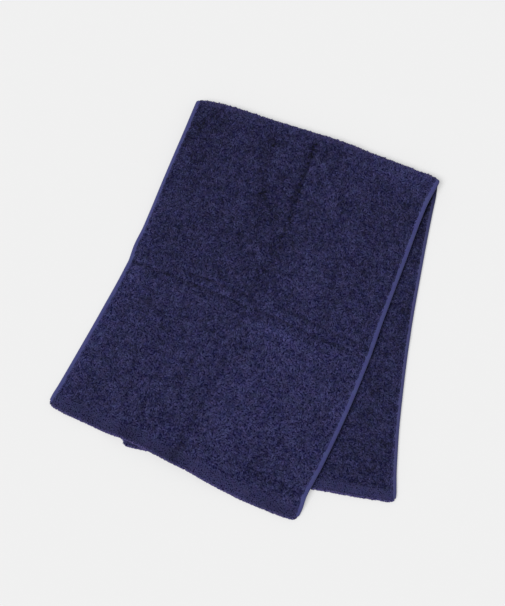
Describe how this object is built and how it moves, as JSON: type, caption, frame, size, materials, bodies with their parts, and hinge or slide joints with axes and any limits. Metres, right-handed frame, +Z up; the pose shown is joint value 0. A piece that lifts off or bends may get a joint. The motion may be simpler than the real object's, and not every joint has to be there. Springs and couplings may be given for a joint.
{
  "type": "face towel",
  "caption": "Terry cloth towel folded in half on a flat surface, its upper layer lying askew over the lower one, with a smooth narrow tape bound over each long side.",
  "frame": {"origin": "on the surface that the towel lies on, under the middle of its footprint", "axes": "+X along the fold, from the side where the layers' edges lie nearly in line to the side where the lower layer shows; +Y from the loose ends towards the fold; +Z up"},
  "size_m": [0.445, 0.4882, 0.0133],
  "materials": {
    "terry": "navy cotton terry with looped pile on both faces",
    "side_tape": "smooth narrow woven cotton tape, a lighter blue violet than the pile"
  },
  "bodies": {
    "root": {"terry_cloth": "terry", "side_tape_left": "side_tape", "side_tape_right": "side_tape"}
  },
  "joints": []
}
